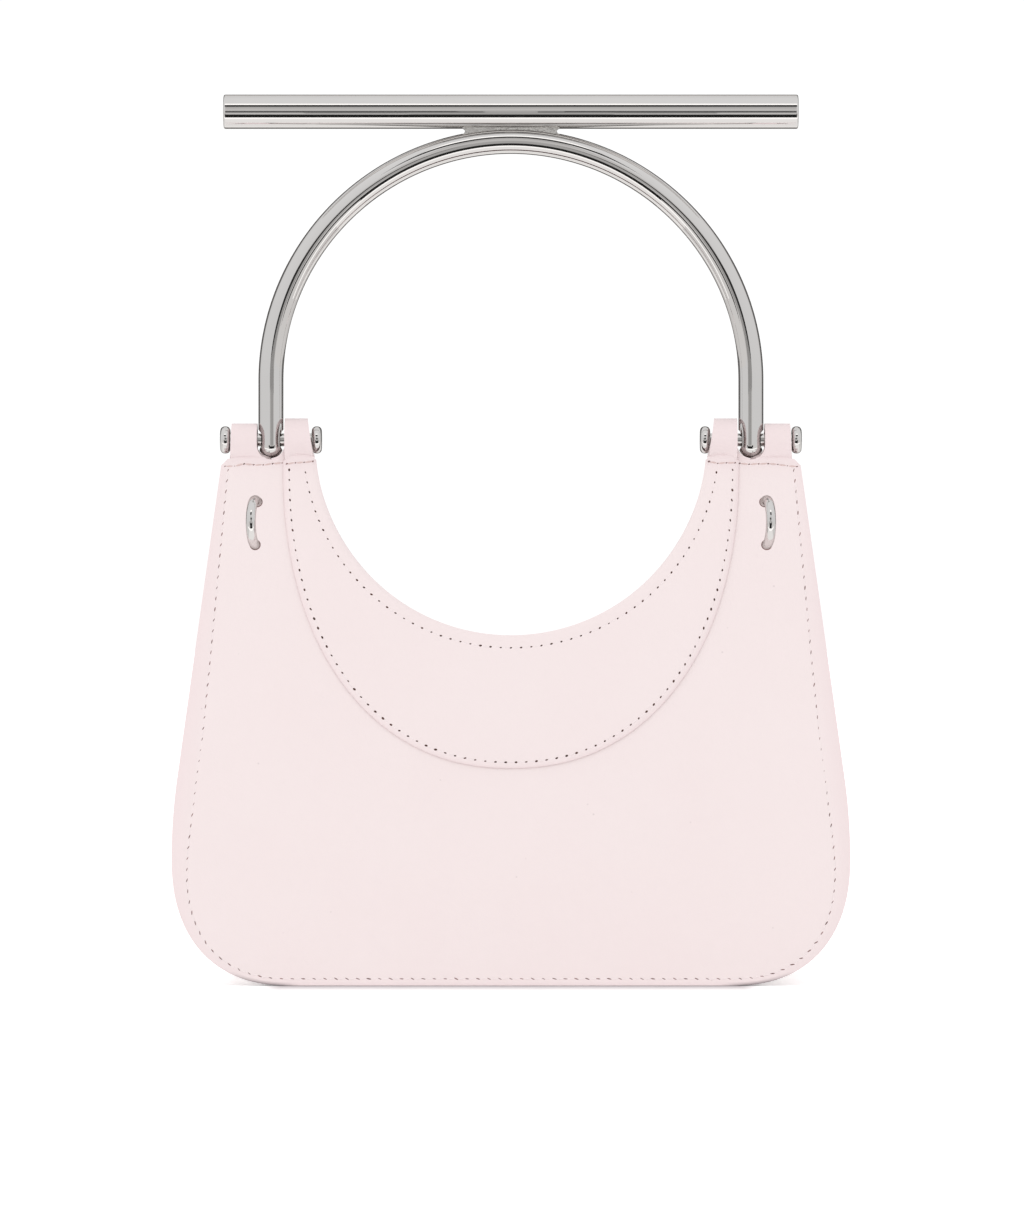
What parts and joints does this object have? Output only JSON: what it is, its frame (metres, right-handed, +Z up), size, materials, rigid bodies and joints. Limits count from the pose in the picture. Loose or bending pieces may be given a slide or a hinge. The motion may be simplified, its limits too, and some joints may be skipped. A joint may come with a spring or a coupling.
{
  "type": "mini tote bag",
  "caption": "Small structured leather tote with a round scooped mouth, a crescent yoke and a stiff metal arch handle with a cross bar.",
  "frame": {"origin": "on the floor under the middle of the base", "axes": "+X to the right across the bag as seen from the front, +Y to the back, +Z up"},
  "size_m": [0.1868, 0.062, 0.2476],
  "materials": {
    "leather": "smooth pale pink calf leather, tonal stitches, painted edges",
    "metal": "polished silver-coloured plating"
  },
  "bodies": {
    "bag": {"front_panel": "leather", "back_panel": "leather", "front_yoke": "leather", "gusset": "leather", "pin_left": "metal", "pin_right": "metal", "staple_left": "metal", "staple_right": "metal"},
    "handle": {"handle": "metal"}
  },
  "joints": [
    {"name": "handle_swing", "type": "hinge", "parent": "bag", "child": "handle", "pos_m": [0, 0, 0.1509], "axis": [1, 0, 0], "range_deg": [-110, 110]}
  ]
}
